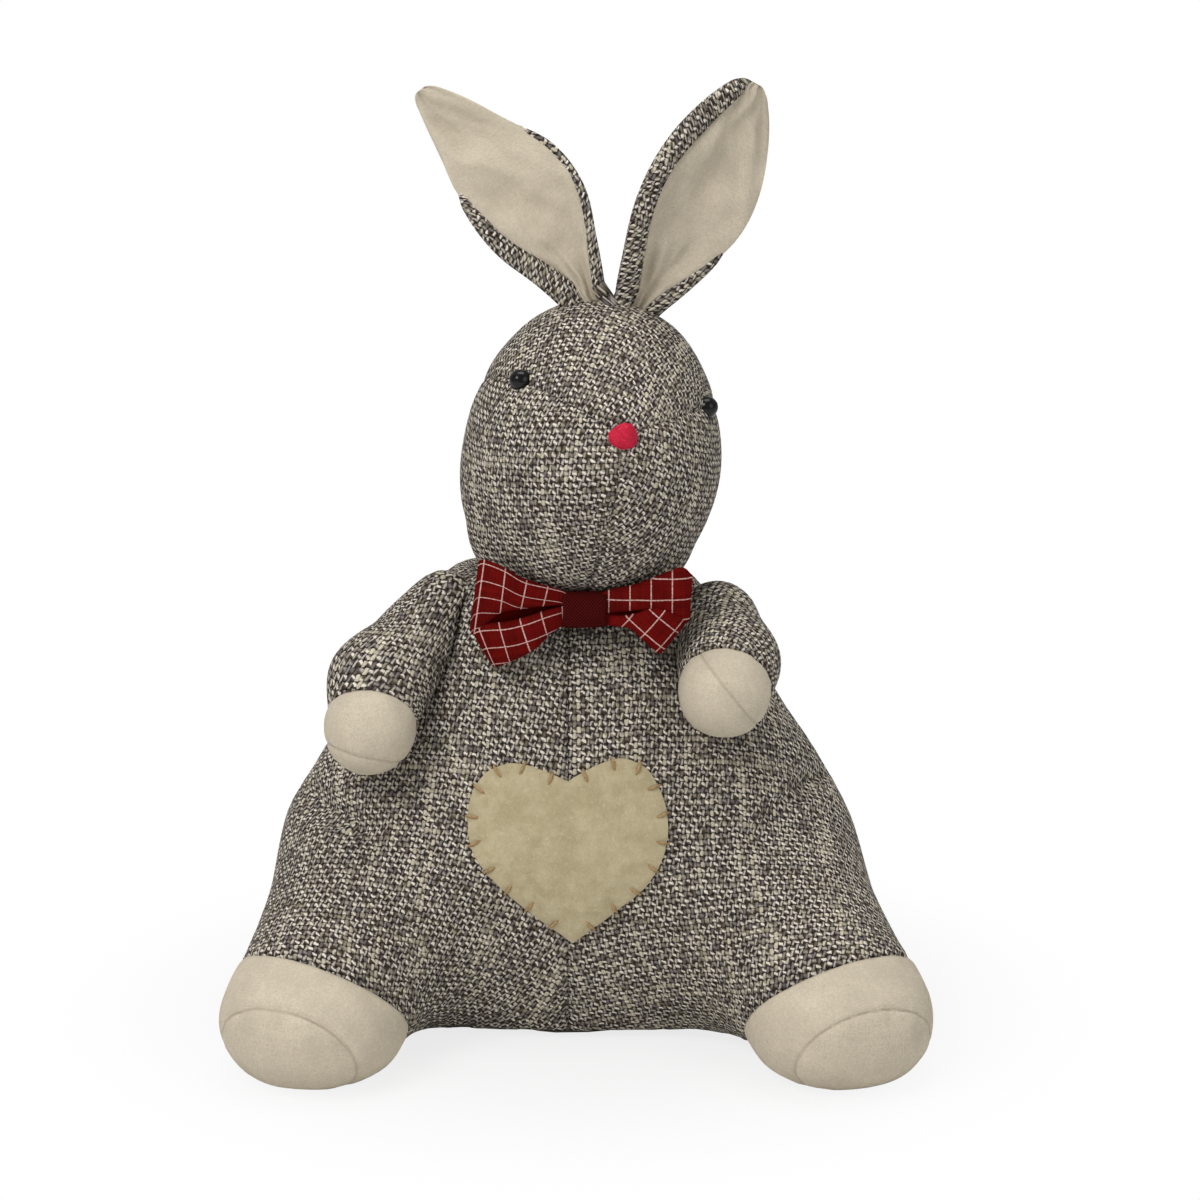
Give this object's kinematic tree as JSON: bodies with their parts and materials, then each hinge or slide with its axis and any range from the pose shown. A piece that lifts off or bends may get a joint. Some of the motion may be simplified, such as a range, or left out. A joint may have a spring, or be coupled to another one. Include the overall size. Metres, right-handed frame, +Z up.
{
  "type": "rabbit door stop",
  "caption": "Weighted fabric rabbit that sits on the floor and holds a door open.",
  "frame": {"origin": "on the floor, under the middle of the torso, on the flat face of the base panel", "axes": "+Z up, the rabbit faces -Y, and +X is its own left"},
  "size_m": [0.243, 0.1755, 0.3313],
  "materials": {
    "base_cloth": "plain woven",
    "cream_cotton": "fine woven cotton",
    "eye_black": "polished bead",
    "felt": "pressed felt",
    "filling": "loose fibre",
    "knot_red": "twill cotton",
    "nose_red": "felt",
    "red_check": "checked woven cotton",
    "sand_bag": "plain woven",
    "thread": "twisted thread",
    "tweed": "coarse woven"
  },
  "bodies": {
    "root": {"torso_front_left": "tweed", "arm_left": "tweed", "paw_left": "cream_cotton", "foot_left": "cream_cotton", "sole_left": "cream_cotton", "head_side_left": "tweed", "ear_back_left": "tweed", "ear_lining_left": "cream_cotton", "eye_left": "eye_black", "torso_front_right": "tweed", "arm_right": "tweed", "paw_right": "cream_cotton", "foot_right": "cream_cotton", "sole_right": "cream_cotton", "head_side_right": "tweed", "ear_back_right": "tweed", "ear_lining_right": "cream_cotton", "eye_right": "eye_black", "torso_back": "tweed", "base_panel": "base_cloth", "weight_bag": "sand_bag", "torso_filling": "filling", "head_gusset": "tweed", "head_filling": "filling", "nose": "nose_red", "bow_tie": "red_check", "bow_knot": "knot_red", "heart_patch": "felt", "patch_stitch_01": "thread", "patch_stitch_02": "thread", "patch_stitch_03": "thread", "patch_stitch_04": "thread", "patch_stitch_05": "thread", "patch_stitch_06": "thread", "patch_stitch_07": "thread", "patch_stitch_08": "thread", "patch_stitch_09": "thread", "patch_stitch_10": "thread", "patch_stitch_11": "thread", "patch_stitch_12": "thread", "patch_stitch_13": "thread", "patch_stitch_14": "thread", "patch_stitch_15": "thread", "patch_stitch_16": "thread", "patch_stitch_17": "thread", "patch_stitch_18": "thread", "patch_stitch_19": "thread", "patch_stitch_20": "thread"}
  },
  "joints": []
}
